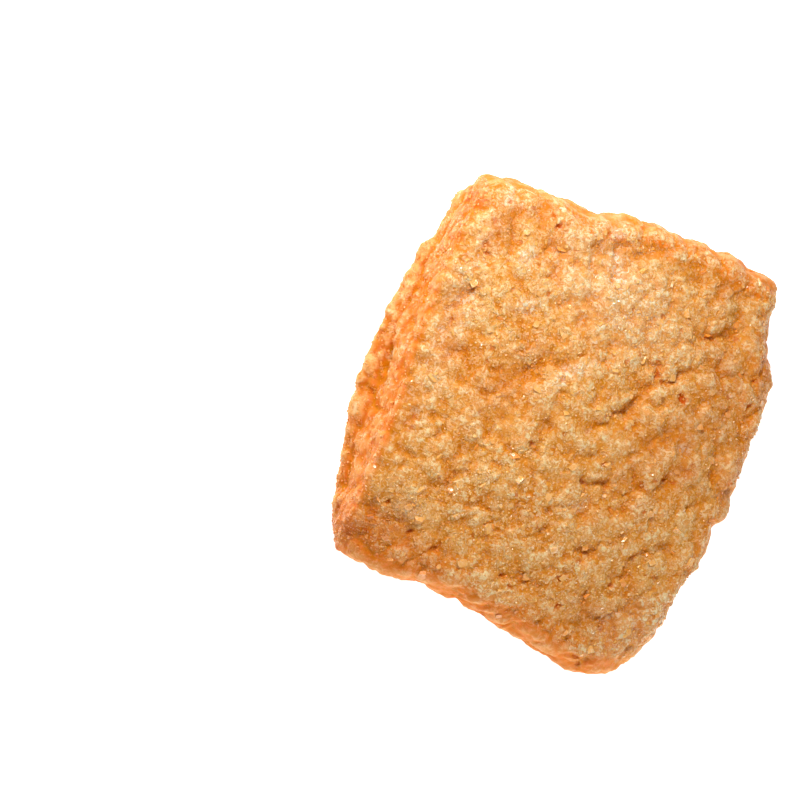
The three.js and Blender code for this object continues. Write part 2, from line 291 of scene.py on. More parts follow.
def cell_distance(x: Array, y: Array, z: Array) -> Array:
    """Distance from each point to the nearest of one scattered point in each unit cell.

    A cell's point is its corner and a draw for each axis, and the 27 cells round a place count.

    Args:
        x: First coordinates.
        y: Second coordinates.
        z: Third coordinates.

    Returns:
        One distance a point.
    """
    cell = [np.floor(value) for value in (x, y, z)]
    nearest = np.full(np.shape(x), np.inf)
    for n in range(27):
        i, j, k = cell[0] + n % 3 - 1, cell[1] + n // 3 % 3 - 1, cell[2] + n // 9 - 1
        dx = i + draw(i, j, k) - x
        dy = j + draw(j, k, i + 17) - y
        dz = k + draw(k, i, j + 31) - z
        nearest = np.minimum(nearest, np.sqrt(dx * dx + dy * dy + dz * dz))
    return nearest


def within(ends: Span, share: Numbers) -> Numbers:
    """Number at a share of the way from the first end to the second."""
    return ends[0] + (ends[1] - ends[0]) * share


def cubic(a: Array, b: Array, c: Array, d: Array, f: Array) -> Array:
    """Value between b and c at share f of the way, on a smooth curve through a, b, c and d."""
    return b + 0.5 * f * (c - a + f * (2 * a - 5 * b + 4 * c - d + f * (3 * (b - c) + d - a)))


def spots(rows: tuple[Row, ...], x: Array, y: Array, power: float = 2.0) -> Array:
    """Sum of oval spots over plan positions.

    A spot is its share times exp(-(u^2 + v^2)^(power / 2)), where u and v are the distances along
    and across it over its half length and half width.

    Args:
        rows: Middle x and y, half length, half width, turn from +X in degrees, and share.
        x: Plan x of each point.
        y: Plan y of each point.
        power: Two for a soft spot, more for a sharp edge.

    Returns:
        The sum at each point.
    """
    total = np.zeros(np.shape(x))
    for mid_x, mid_y, half_length, half_width, degrees, share in rows:
        turn = math.radians(degrees)
        along = ((x - mid_x) * math.cos(turn) + (y - mid_y) * math.sin(turn)) / half_length
        across = ((y - mid_y) * math.cos(turn) - (x - mid_x) * math.sin(turn)) / half_width
        total += share * np.exp(-((along * along + across * across) ** (power / 2)))
    return total


def mesh_object(name: str, points: Array, faces: list[list[int]], smooth: bool) -> Object:
    """A mesh object at the origin, with its place in its mesh.

    Args:
        name: Name of the object and its mesh.
        points: Points in millimetres, one a row.
        faces: Point numbers of each face, counter-clockwise from outside.
        smooth: Whether the faces are shaded smooth.

    Returns:
        The object, linked to the scene.
    """
    mesh = bpy.data.meshes.new(name)
    mesh.from_pydata((points * MM).tolist(), [], faces)
    mesh.polygons.foreach_set("use_smooth", [smooth] * len(faces))
    mesh.update()
    made = bpy.data.objects.new(name, mesh)
    bpy.context.scene.collection.objects.link(made)
    return made


def keep_values(made: Object, zone: Zone, values: Array) -> None:
    """Stores a mask, one number a point, as an attribute of an object's mesh."""
    layer = made.data.attributes.new(zone.value, "FLOAT", "POINT")
    layer.data.foreach_set("value", np.ascontiguousarray(values, dtype=np.float32).ravel())


@dataclass(frozen=True)
class Dough:
    """The biscuit's smooth body as a function of two square coordinates a and b from -1 to 1.

    The larger of their sizes is the ring: rings up to top_share make the top, and the rest runs
    from the rim down the side to the edge of the base. Lengths are millimetres.
    """

    crown_height: float = 11.1
    shoulder_height: float = 8.1
    dome_half_width: float = 23.0
    dome_half_length: float = 26.0
    ridge_x: float = -20.8
    ridge_bow: float = 0.9
    corner_drop: float = 1.6
    corner_middle: Span = (-20, -22)
    corner_radius: float = 6.0
    least_wall_reach: float = -0.4
    top_share: float = 0.68
    normal_step: float = 1 / 60

    def outline_point(self, turn: Array) -> Array:
        """Point of the closed outline: a smooth curve through its points.

        Args:
            turn: Sides counted from the front-left corner, from 0 to 4.

        Returns:
            Plan x and y of each point.
        """
        sides = [np.array(edge, float) for edge in (FRONT_EDGE, RIGHT_EDGE, BACK_EDGE, LEFT_EDGE)]
        points = np.concatenate(sides)
        lengths = np.array([len(edge) for edge in sides])
        before = np.concatenate([[0], np.cumsum(lengths)[:-1]])
        side = np.floor(turn).astype(int) % 4
        along = (turn - np.floor(turn)) * lengths[side]
        first = before[side] + np.floor(along).astype(int)
        near = [points[(first + step) % len(points)] for step in (-1, 0, 1, 2)]
        return cubic(*near, (along - np.floor(along))[..., None])

    def station_value(self, values: Row, t: Array) -> Array:
        """Smooth curve through one number a station.

        Args:
            values: The numbers, from the rim's to the base's.
            t: Share of the way from the first to the last.

        Returns:
            The curve's value at each share.
        """
        v = np.array(values, float)
        last = len(v) - 1
        k = np.minimum(np.floor(t * last).astype(int), last - 1)
        b, c = v[k], v[k + 1]
        a = np.where(k > 0, v[np.maximum(k - 1, 0)], 2 * b - c)
        d = np.where(k + 2 <= last, v[np.minimum(k + 2, last)], 2 * c - b)
        return cubic(a, b, c, d, t * last - k)

    def ridge(self, y: Array) -> Array:
        """The cut side's ridge along X: bowed out from y -8 to 2, and less so from y 8 to 16."""
        return self.ridge_x - self.ridge_bow * ramp(-8, 2, y) * (1 - 0.4 * ramp(8, 16, y))

    def insets(self, a: Array, edge: Array, t: Array) -> Array:
        """Insets from an outline point: each side's profile at t, the cut side's reaching to its ridge.

        Args:
            a: First square coordinates.
            edge: Points of the outline.
            t: Share of the way from the rim to the base.

        Returns:
            Insets along X and along Y.
        """
        reach = np.maximum(self.least_wall_reach, self.ridge(edge[..., 1]) - edge[..., 0])
        cut = self.station_value(CUT_ROUNDING, t) + reach * self.station_value(CUT_REACHES, t)
        inset_x = np.where(a < 0, cut, self.station_value(TORN_INSETS, t))
        return np.stack([inset_x, self.station_value(ROLLED_INSETS, t)], -1)

    def dome_height(self, x: Array, y: Array) -> Array:
        """Height of the dome, less a soft drop at its hanging corner.

        The dome is the shoulder, and the rest times 1 - |x / w|^2.3 times 1 - |y / l|^2.5.

        Args:
            x: Plan x of each point.
            y: Plan y of each point.

        Returns:
            The height of each point.
        """
        across = 1 - np.minimum(1, np.abs(x / self.dome_half_width) ** 2.3)
        along = 1 - np.minimum(1, np.abs(y / self.dome_half_length) ** 2.5)
        away = np.hypot(x - self.corner_middle[0], y - self.corner_middle[1]) / self.corner_radius
        dome = within((self.shoulder_height, self.crown_height), across * along)
        return dome - self.corner_drop * np.exp(-away * away)

    def square_turn(self, a: Array, b: Array) -> Array:
        """The turn round the outline that square coordinates lie at, as seen from the middle.

        Args:
            a: First square coordinates.
            b: Second square coordinates.

        Returns:
            Sides counted from the front-left corner, from 0 to 4.
        """
        with np.errstate(all="ignore"):
            front, right = (a / -b + 1) / 2, 1 + (b / a + 1) / 2
            back, left = 2 + (1 - a / b) / 2, (3 + (1 - b / -a) / 2) % 4
        places = [-b >= np.abs(a), a >= np.abs(b), b >= np.abs(a)]
        return np.where((a == 0) & (b == 0), 0.0, np.select(places, [front, right, back], left))

    def ring(self, a: Array, b: Array) -> Array:
        """The ring of square coordinates: the larger of their sizes."""
        return np.maximum(np.maximum(np.abs(a), np.abs(b)), 1e-6)

    def side_share(self, a: Array, b: Array) -> Array:
        """Share of the way down the side, 0 at the rim and over the whole top, 1 at the base."""
        return np.clip((self.ring(a, b) - self.top_share) / (1 - self.top_share), 0, 1)

    def body(self, a: Array, b: Array) -> Array:
        """Point of the smooth body.

        On top it is the rim's point scaled by ring / top_share, at the dome's height. On a side it
        is the outline's point moved inwards by the side's inset there, at the station's share of
        the rim's height.

        Args:
            a: First square coordinates.
            b: Second square coordinates.

        Returns:
            One point a pair.
        """
        ring, t = self.ring(a, b), self.side_share(a, b)
        edge = self.outline_point(self.square_turn(a, b))
        inward = np.stack([-a / ring, -b / ring], -1)
        rim = edge + self.insets(a, edge, np.zeros_like(ring)) * inward
        top = rim * np.minimum(ring / self.top_share, 1)[..., None]
        side = edge + self.insets(a, edge, t) * inward
        rim_height = self.dome_height(rim[..., 0], rim[..., 1])
        height = self.station_value(STATION_HEIGHTS, t) * rim_height
        on_top = ring <= self.top_share
        plan = np.where(on_top[..., None], top, side)
        z = np.where(on_top, self.dome_height(top[..., 0], top[..., 1]), height)
        return np.concatenate([plan, z[..., None]], -1)

    def normal(self, a: Array, b: Array) -> Array:
        """Outward normal of the smooth body: the cross product of its steps along a and b.

        Args:
            a: First square coordinates.
            b: Second square coordinates.

        Returns:
            One unit normal a pair.
        """
        step = self.normal_step
        along_a = self.body(np.minimum(1, a + step), b) - self.body(np.maximum(-1, a - step), b)
        along_b = self.body(a, np.minimum(1, b + step)) - self.body(a, np.maximum(-1, b - step))
        normal = np.cross(along_a, along_b)
        return normal / np.linalg.norm(normal, axis=-1, keepdims=True)


@dataclass(frozen=True)
class Patch:
    """The finished dough at arrays of square coordinates a and b, with each value worked out once.

    Lengths are millimetres, and shares go from 0 to 1. A crumb cap is a cell's size and a depth. A
    number added to a place, or in place of its z, only picks another part of the noise.
    """

    dough: Dough
    a: Array
    b: Array
    base_fade: float = 1.4
    lump_turn: float = math.radians(52)
    crumb_bend: float = 0.6
    crumb_caps: tuple[Span, ...] = ((3.2, 0.85), (1.8, 0.5), (1, 0.24), (0.6, 0.14))
    roll_crumbs: float = 0.85
    dent_strength: float = 0.7
    dent_bend: float = 1.2
    pit_strength: float = 0.65
    pit_bend: float = 0.22
    crevice_depth: float = 0.35
    crevice_width: float = 0.035
    bare_dust: float = 0.4
    cut_dust: float = 0.8

    @cached_property
    def places(self) -> Array:
        """The smooth body's x, y and z."""
        return np.moveaxis(self.dough.body(self.a, self.b), -1, 0)

    @cached_property
    def waver(self) -> Array:
        """Noise of 1.6 mm, which makes edges waver."""
        x, y, z = self.places
        return noise(x / 1.6, y / 1.6, z / 1.6)

    @cached_property
    def past_rim(self) -> Array:
        """How far the ring is past the rim's, below 0 on top."""
        return self.dough.ring(self.a, self.b) - self.dough.top_share

    @cached_property
    def down(self) -> Array:
        """Share of the way down the side."""
        return self.dough.side_share(self.a, self.b)

    @cached_property
    def cut(self) -> Array:
        """How much a point lies on the cut side: wholly in its own quarter, and less up to 3% past it."""
        across = -self.a / np.maximum(np.maximum(np.abs(self.b), -self.a), 1e-9)
        return np.where(self.a < 0, ramp(0.97, 1, across), 0.0)

    @cached_property
    def rolled(self) -> Array:
        """How much a point lies on the rolled front or back side, which fade over 5% each way of a corner."""
        steep = np.abs(self.b) / np.maximum(np.abs(self.a), 1e-6)
        return ramp(0.95, 1.05, steep) * (1 - self.cut)

    @cached_property
    def crevice_way(self) -> Array:
        """Share of the way down the side past the crevice over the cut side's foot, below 0 above it.

        The crevice is 0.67 of the way down at the back and 0.73 at the front, give or take 0.03.
        """
        x, y, _ = self.places
        return self.down - (0.67 + 0.06 * ramp(4, -12, y)) - 0.03 * noise(x / 1.5, y / 1.5, 0.0)

    @cached_property
    def crevice(self) -> Array:
        """How deep a point lies in the crevice: a bell of the way past it."""
        return np.exp(-((self.crevice_way / self.crevice_width) ** 2)) * self.cut

    @cached_property
    def wall(self) -> Array:
        """How much a point lies on the cut side's wall, from its ridge down to the crevice.

        It grows between 0.12 and 0.26 of the way down, and fades out from 0.04 above the crevice
        to 0.04 below it.
        """
        return ramp(0.12, 0.26, self.down) * ramp(0.04, -0.04, self.crevice_way) * self.cut

    @cached_property
    def foot(self) -> Array:
        """How much a point lies on the cut side's foot, from the crevice out to its thin rim."""
        return ramp(-0.02, 0.02, self.crevice_way) * self.cut

    def lumpiness(self) -> Array:
        """How lumpy the crumb is: 0.6 on the rolls, 0.2 on the cut side's wall, and 1 elsewhere.

        The foot gives way to the wall between 2.8 and 3.8 mm over the base, and the top to the
        sides between 0.05 and 0.1 past the rim.

        Returns:
            One factor a point.
        """
        foot = 1 - ramp(2.8, 3.8, self.places[2])
        rolled = np.where(np.abs(self.b) > np.abs(self.a), 0.6, 1.0)
        side = rolled + (0.2 + 0.8 * foot - rolled) * self.cut
        return 1 + (side - 1) * ramp(0.05, 0.1, self.past_rim)

    def lumps(self) -> Array:
        """Height of the crumb's lumps.

        It is the sum of three: 0.42 times noise of 4.8 mm that is 1.5 times as long at the lumps'
        turn, 0.26 times noise of 2.5 mm, and 0.5 times a half less the distance to a cell's point,
        in cells of 2.6 mm.

        Returns:
            One height a point.
        """
        x, y, z = self.places
        along = (x * math.cos(self.lump_turn) + y * math.sin(self.lump_turn)) / 1.5
        across = y * math.cos(self.lump_turn) - x * math.sin(self.lump_turn)
        swell = 0.42 * noise(along / 4.8, across / 4.8, z / 4.8)
        lump = 0.26 * noise(x / 2.5 + 9, y / 2.5, z / 2.5)
        round_lump = 0.5 * (0.5 - cell_distance(x / 2.6, y / 2.6, z / 2.6 + 5))
        return swell + lump + round_lump

    def crumbs(self) -> Array:
        """Height of the fine crumb.

        It is the sum of round caps, 0.36 less the squared distance to a cell's point, at a place
        that noise of 1.7 mm has bent.

        Returns:
            One height a point.
        """
        x, y, z = self.places
        x = x + self.crumb_bend * noise(x / 1.7, y / 1.7, z / 1.7 + 7)
        y = y + self.crumb_bend * noise(x / 1.7, y / 1.7, z / 1.7 + 12)
        height = np.zeros(np.shape(x))
        for size, depth in self.crumb_caps:
            height += depth * (0.36 - cell_distance(x / size + 3, y / size, z / size) ** 2)
        return height

    def crumbliness(self) -> Array:
        """How rough the fine crumb is: less on the rolls than elsewhere."""
        return 1 - (1 - self.roll_crumbs) * ramp(0.2, 0.4, self.down) * self.rolled

    def dents(self) -> Array:
        """Depth of all the dents: soft spots at a place that noise of 2 mm has bent."""
        x, y, _ = self.places
        bent_x = x + self.dent_bend * noise(x / 2, y / 2, 3.0)
        bent_y = y + self.dent_bend * noise(x / 2, y / 2, 8.0)
        return self.dent_strength * spots(DENTS, bent_x, bent_y)

    @cached_property
    def pits(self) -> Array:
        """Depth of the holes in the top: sharp spots at a place that noise of 0.5 mm has bent."""
        x, y, _ = self.places
        bent_x = x + self.pit_bend * noise(x / 0.5, y / 0.5, 2.0)
        bent_y = y + self.pit_bend * noise(x / 0.5, y / 0.5, 6.0)
        return self.pit_strength * spots(PITS, bent_x, bent_y, power=4.0)

    @cached_property
    def relief(self) -> Array:
        """Height of the finished surface over the smooth body, along its normal.

        It is the lumps and crumbs, less the crevice and less the dents and pits, which fade out
        between 0.02 and 0.16 past the rim. All of it fades out towards the base.
        """
        raised = self.lumps() * self.lumpiness() + self.crumbs() * self.crumbliness()
        sunk = (self.dents() + self.pits) * (1 - ramp(0.02, 0.16, self.past_rim))
        fade = ramp(0, self.base_fade, self.places[2])
        return (raised - sunk - self.crevice_depth * self.crevice) * fade

    @cached_property
    def normal(self) -> Array:
        """Outward normals of the smooth body."""
        return self.dough.normal(self.a, self.b)

    @cached_property
    def surface(self) -> Array:
        """Points of the finished surface: the body, moved along its normal by the relief."""
        return np.moveaxis(self.places, 0, -1) + self.normal * self.relief[..., None]

    @cached_property
    def sugar(self) -> Array:
        """How much sugar lies there: all on top, and half at 0.13 past the rim, or 0.07 on the cut side."""
        return 1 - ramp(-0.03, 0.03, self.past_rim - 0.13 + 0.06 * self.cut)

    @cached_property
    def bare(self) -> Array:
        """How bare of sugar a point of the rolled sides is: wholly so from 0.1 below a line.

        The line lies 0.22 of the way down at the front and 0.3 at the back, give or take 0.05.
        """
        line = 0.22 + 0.08 * ramp(-0.2, 0.2, self.b) - 0.05 * self.waver
        return self.rolled * ramp(0, 0.1, self.down - line)

    @cached_property
    def dust(self) -> Array:
        """How much fine sugar lies there: less on the cut side than on top, and least on bare rolls."""
        covered = self.sugar * within((1, self.bare_dust), self.bare)
        return np.maximum(covered, self.cut_dust * (self.wall + self.foot))


class Nodes:
    """A shader node tree, with short ways to add to it."""

    def __init__(self, tree: NodeTree) -> None:
        """Takes the tree that the nodes go into."""
        self.tree = tree

    def add(self, kind: str, settings: dict | None = None, **inputs: object) -> Node:
        """Adds a node, sets its properties, and fills or links its input sockets.

        Args:
            kind: Blender's name of the node type.
            settings: Properties of the node, by name.
            inputs: Values or output sockets by input name, with _ for a space, or i0, i1 by number.

        Returns:
            The node.
        """
        made = self.tree.nodes.new(kind)
        for name, value in (settings or {}).items():
            setattr(made, name, value)
        for name, value in inputs.items():
            key = int(name[1:]) if name[0] == "i" and name[1:].isdigit() else name.replace("_", " ")
            if isinstance(value, NodeSocket):
                self.tree.links.new(value, made.inputs[key])
            else:
                made.inputs[key].default_value = value
        return made

    def maths(self, kind: str, operation: str, values: tuple) -> Node:
        """A node of this kind that works on values or sockets, in the order of its inputs."""
        return self.add(kind, {"operation": operation}, **{f"i{n}": value for n, value in enumerate(values)})

    def calc(self, operation: str, *values: object) -> NodeSocket:
        """Output of a Math node."""
        return self.maths("ShaderNodeMath", operation, values).outputs[0]

    def vector(self, operation: str, *values: object) -> Node:
        """A Vector Math node."""
        return self.maths("ShaderNodeVectorMath", operation, values)

    def between(self, value: NodeSocket, ends: Span) -> NodeSocket:
        """Number that goes from the first end to the second as the value goes from 0 to 1."""
        return self.calc("MULTIPLY_ADD", value, ends[1] - ends[0], ends[0])

    def step(self, value: NodeSocket, low: float, high: float) -> NodeSocket:
        """Smooth step of a socket: 0 at low and 1 at high, which may be the smaller."""
        settings = {"interpolation_type": "SMOOTHSTEP"}
        made = self.add("ShaderNodeMapRange", settings, Value=value, From_Min=low, From_Max=high)
        return made.outputs["Result"]

    def mask(self, zone: Zone) -> NodeSocket:
        """The named mask of the mesh, from 0 to 1."""
        return self.add("ShaderNodeAttribute", {"attribute_name": zone.value}).outputs["Fac"]

    def blend(self, share: NodeSocket, under: object, over: Colour) -> NodeSocket:
        """Colour between under and over, at a share from 0 to 1."""
        settings = {"data_type": "RGBA", "clamp_factor": True}
        return self.add("ShaderNodeMix", settings, i0=share, i6=under, i7=over).outputs[2]

    def layer(self, under: NodeSocket, zone: Zone, share: object, over: Colour) -> NodeSocket:
        """Colour with another over it, at this share of a zone's mask."""
        return self.blend(self.calc("MULTIPLY", self.mask(zone), share), under, over)

    def millimetres(self) -> NodeSocket:
        """Place on the object in millimetres."""
        place = self.add("ShaderNodeTexCoord").outputs["Object"]
        return self.add("ShaderNodeMapping", Vector=place, Scale=(1000, 1000, 1000)).outputs["Vector"]

    def use(self, group: NodeTree, place: NodeSocket, size: float, **inputs: object) -> Node:
        """Places a node group, whose pattern has cells of this size in millimetres."""
        return self.add("ShaderNodeGroup", {"node_tree": group}, Place=place, Size=size, **inputs)

    def raised(self, height: NodeSocket) -> NodeSocket:
        """Normal of a surface with this relief in millimetres."""
        return self.add("ShaderNodeBump", Strength=1.0, Distance=MM, Height=height).outputs["Normal"]


class Pattern(Nodes):
    """A shader node group that works out numbers from a place and the size of its cells."""

    def __init__(self, name: str, outputs: tuple[str, ...], numbers: tuple[str, ...] = ()) -> None:
        """Makes the group's sockets, its ends, and the rate, which is 1 over the size.

        Args:
            name: Name of the group.
            outputs: Names of the numbers that it puts out.
            numbers: Names of the numbers that it takes besides the size.
        """
        super().__init__(bpy.data.node_groups.new(name, "ShaderNodeTree"))
        sockets = [("Place", "INPUT", "NodeSocketVector")]
        sockets += [(label, "INPUT", "NodeSocketFloat") for label in ("Size", *numbers)]
        sockets += [(label, "OUTPUT", "NodeSocketFloat") for label in outputs]
        for label, way, kind in sockets:
            self.tree.interface.new_socket(label, in_out=way, socket_type=kind)
        self.given = self.add("NodeGroupInput").outputs
        self.wanted = self.add("NodeGroupOutput").inputs
        self.rate = self.calc("DIVIDE", 1.0, self.given["Size"])

    def put_out(self, label: str, value: NodeSocket) -> None:
        """Links a value to the output of this name."""
        self.tree.links.new(value, self.wanted[label])

    def cells(self, place: NodeSocket, feature: str) -> Node:
        """A cell pattern at a place, at the group's rate."""
        return self.add("ShaderNodeTexVoronoi", {"feature": feature}, Vector=place, Scale=self.rate)


def layered_group(name: str, detail: float, roughness: float, bend: float, edges: Span) -> NodeTree:
    """Group of layered noise, as a mask from 0 to 1.

    Args:
        name: Name of the group.
        detail: Number of finer layers.
        roughness: Strength of each layer in the one before.
        bend: How much the noise bends itself.
        edges: Values of the noise at which the mask is 0 and 1.

    Returns:
        The group.
    """
    pattern = Pattern(name, ("Mask",))
    layers = pattern.add(
        "ShaderNodeTexNoise", Vector=pattern.given["Place"], Scale=pattern.rate,
        Detail=detail, Roughness=roughness, Distortion=bend,
    )
    pattern.put_out("Mask", pattern.step(layers.outputs["Fac"], *edges))
    return pattern.tree


def facet_group() -> NodeTree:
    """Group of small crystal faces.

    Each cell of a cell pattern is one face. Its height, in millimetres, rises along a drawn way
    from the cell's point, so that it is a tilted plane, and fades out within 0.12 of the size from
    the cell's edge. Its tint is a draw.

    Returns:
        The group.
    """
    pattern = Pattern("facets", ("Height", "Tint"))
    place = pattern.given["Place"]
    cells = pattern.cells(place, "F1").outputs
    edge = pattern.cells(place, "DISTANCE_TO_EDGE").outputs["Distance"]
    away = pattern.vector("SUBTRACT", place, cells["Position"]).outputs[0]
    way = pattern.vector("MULTIPLY_ADD", cells["Color"], (2.0, 2.0, 2.0), (-1.0, -1.0, -1.0)).outputs[0]
    tilted = pattern.vector("DOT_PRODUCT", away, way).outputs["Value"]
    pattern.put_out("Height", pattern.calc("MULTIPLY", tilted, pattern.step(edge, 0.0, 0.12)))
    draws = pattern.add("ShaderNodeSeparateColor", Color=cells["Color"])
    pattern.put_out("Tint", draws.outputs["Green"])
    return pattern.tree


def pore_group() -> NodeTree:
    """Group of small scattered pores: a mask that is 1 in a pore, in a share of the pattern's cells.

    The place is bent by 0.7 times the colour of noise of 0.4 mm. A pore is whole up to 0.16 of the
    size from its cell's point, and gone from 0.34 on.

    Returns:
        The group.
    """
    pattern = Pattern("pores", ("Mask",), ("Share",))
    place = pattern.given["Place"]
    bend = pattern.add("ShaderNodeTexNoise", Vector=place, Scale=2.5, Detail=2.0).outputs["Color"]
    bent = pattern.vector("MULTIPLY_ADD", bend, (0.7, 0.7, 0.7), place).outputs[0]
    cells = pattern.cells(bent, "F1").outputs
    draws = pattern.add("ShaderNodeSeparateColor", Color=cells["Color"])
    open_cell = pattern.calc("LESS_THAN", draws.outputs["Red"], pattern.given["Share"])
    hole = pattern.step(cells["Distance"], 0.34, 0.16)
    pattern.put_out("Mask", pattern.calc("MULTIPLY", hole, open_cell))
    return pattern.tree


@dataclass(frozen=True)
class Effects:
    """The node groups that the finishes share."""

    mottle: NodeTree
    wisps: NodeTree
    facets: NodeTree
    pores: NodeTree


class Finish:
    """A material whose light goes a little way under the surface."""

    title: ClassVar[str] = ""

    def sockets(self, nodes: Nodes, effects: Effects) -> dict[str, object]:
        """Values and linked sockets of the shader, by input name with _ for a space."""
        raise NotImplementedError

    def make(self, effects: Effects) -> Material:
        """Builds the material.

        Args:
            effects: The shared node groups.

        Returns:
            The material.
        """
        material = bpy.data.materials.new(self.title)
        material.use_nodes = True
        material.node_tree.nodes.clear()
        nodes = Nodes(material.node_tree)
        shader = nodes.add("ShaderNodeBsdfPrincipled", **self.sockets(nodes, effects))
        nodes.add("ShaderNodeOutputMaterial", Surface=shader.outputs["BSDF"])
        return material


@dataclass(frozen=True)
class CrustFinish(Finish):
    """Baked dough: golden crumb under melted sugar, browned orange, with painted light and shade.

    Hollows and the crevice carry painted shade, pits and pores a dark red painted shade, and crests
    a paler colour that is partly sugar and partly painted light.

    A pair says how strong something is where its mask is 0 and where it is 1. A facet whose tint is
    past crystal_tints glints like a crystal. Sizes and heights are in millimetres, and
    scatter_depth is in metres.
    """

    crumb: Colour = linear(245, 180, 86)
    crumb_deep: Colour = linear(232, 148, 40)
    crest_sugar_and_light: Colour = linear(252, 206, 140)
    wisp: Colour = linear(255, 220, 168)
    hollow_shade: Colour = linear(214, 126, 2)
    baked: Colour = linear(250, 128, 12)
    wall: Colour = linear(228, 106, 20)
    foot: Colour = linear(206, 88, 18)
    crevice: Colour = linear(210, 80, 8)
    rim: Colour = linear(242, 162, 94)
    toasted_and_low_shade: Colour = linear(206, 106, 16)
    pit_shade: Colour = linear(210, 92, 6)
    white: Colour = linear(255, 240, 214)
    broad_size: float = 5.0
    narrow_size: float = 1.4
    facet_size: float = 0.3
    facet_slope: float = 0.34
    crystal_tints: Span = (0.35, 0.5)
    wisp_size: float = 0.6
    wisp_height: float = 0.05
    pore_size: float = 1.3
    pore_share: float = 0.1
    pore_depth: float = 0.2
    pore_cover: float = 0.55
    hollow_cover: float = 0.92
    amber_cover: Span = (0.52, 0.0)
    uneven_cover: Span = (0.35, 0.95)
    patchy_cover: Span = (0.84, 1.0)
    crest_cover: Span = (0.75, 0.45)
    frost_cover: Span = (0.46, 1.06)
    white_cover: Span = (0.2, 0.9)
    bump_share: Span = (0.15, 1.0)
    roughness: Span = (0.5, 0.14)
    refraction: float = 1.5
    shine: float = 0.12
    scatter: float = 1.0
    scatter_ways: Row = (1.0, 0.9, 0.8)
    scatter_depth: float = 0.0004
    title: ClassVar[str] = "baked crust"

    def sockets(self, nodes: Nodes, effects: Effects) -> dict[str, object]:
        """Values and linked sockets of the shader: colour, roughness, relief and scattering.

        Args:
            nodes: The material's node tree.
            effects: The shared node groups.

        Returns:
            Values or sockets, by input name with _ for a space.
        """
        place = nodes.millimetres()
        facets = nodes.use(effects.facets, place, self.facet_size).outputs
        wisps = nodes.use(effects.wisps, place, self.wisp_size).outputs["Mask"]
        pores = nodes.use(effects.pores, place, self.pore_size, Share=self.pore_share).outputs["Mask"]
        sugared = nodes.between(nodes.mask(Zone.FROST), self.bump_share)
        crystal = nodes.calc("MULTIPLY", nodes.step(facets["Tint"], *self.crystal_tints), sugared)
        height = nodes.calc("MULTIPLY", facets["Height"], self.facet_slope)
        height = nodes.calc("MULTIPLY_ADD", wisps, self.wisp_height, height)
        height = nodes.calc("MULTIPLY", height, sugared)
        height = nodes.calc("MULTIPLY_ADD", pores, -self.pore_depth, height)
        return {
            "Base_Color": self.colour(nodes, effects, place, wisps, pores),
            "Roughness": nodes.between(crystal, self.roughness),
            "Normal": nodes.raised(height),
            "IOR": self.refraction,
            "Specular_IOR_Level": self.shine,
            "Subsurface_Weight": self.scatter,
            "Subsurface_Radius": self.scatter_ways,
            "Subsurface_Scale": self.scatter_depth,
        }

    def colour(
        self, nodes: Nodes, effects: Effects, place: NodeSocket, wisps: NodeSocket, pores: NodeSocket
    ) -> NodeSocket:
        """Colour of the crust, in layers: crumb, browned sides, sugar, pores, and painted light and shade.

        Args:
            nodes: The material's node tree.
            effects: The shared node groups.
            place: Place on the object in millimetres.
            wisps: Mask of the pale wisps.
            pores: Mask of small pores.

        Returns:
            The colour's socket.
        """
        broad = nodes.use(effects.mottle, place, self.broad_size).outputs["Mask"]
        narrow = nodes.use(effects.mottle, place, self.narrow_size).outputs["Mask"]
        uneven = nodes.between(narrow, self.uneven_cover)
        patchy = nodes.between(narrow, self.patchy_cover)
        colour = nodes.blend(broad, self.crumb_deep, self.crumb)
        colour = nodes.layer(colour, Zone.BAKED, patchy, self.baked)
        colour = nodes.layer(colour, Zone.WALL, patchy, self.wall)
        colour = nodes.layer(colour, Zone.FOOT, uneven, self.foot)
        colour = nodes.blend(nodes.mask(Zone.RIM), colour, self.rim)
        # Painted shade in the crevice, and the deeper back of the wall.
        colour = nodes.blend(nodes.mask(Zone.CREVICE), colour, self.crevice)
        # Crests turn paler, partly sugar and partly painted light, less so on the sides.
        sides = nodes.calc("ADD", nodes.mask(Zone.WALL), nodes.mask(Zone.BAKED))
        colour = nodes.layer(colour, Zone.CREST_SUGAR_AND_LIGHT, nodes.between(sides, self.crest_cover), self.crest_sugar_and_light)
        # Painted shade: hollows turn deep amber.
        hollow_shade = nodes.calc("MULTIPLY", nodes.mask(Zone.HOLLOW_SHADE), self.hollow_cover)
        # Between the sugar wisps, where their bump is low, the crumb turns amber: partly its own colour,
        # partly painted shade.
        amber = nodes.calc("MAXIMUM", nodes.between(wisps, self.amber_cover), hollow_shade)
        colour = nodes.blend(amber, colour, self.hollow_shade)
        # Pale wisps are thicker on crests, partly sugar and partly painted light.
        frosted = nodes.calc("MULTIPLY", wisps, nodes.between(nodes.mask(Zone.CREST_SUGAR_AND_LIGHT), self.frost_cover))
        colour = nodes.layer(colour, Zone.FROST, frosted, self.wisp)
        colour = nodes.layer(colour, Zone.WHITE, nodes.between(wisps, self.white_cover), self.white)
        # Browned places, and the low sides made darker, partly as painted shade.
        colour = nodes.layer(colour, Zone.TOASTED, uneven, self.toasted_and_low_shade)
        # Painted shade: dark red in the pores and pits.
        colour = nodes.blend(nodes.calc("MULTIPLY", pores, self.pore_cover), colour, self.pit_shade)
        return nodes.blend(nodes.mask(Zone.PIT_SHADE), colour, self.pit_shade)


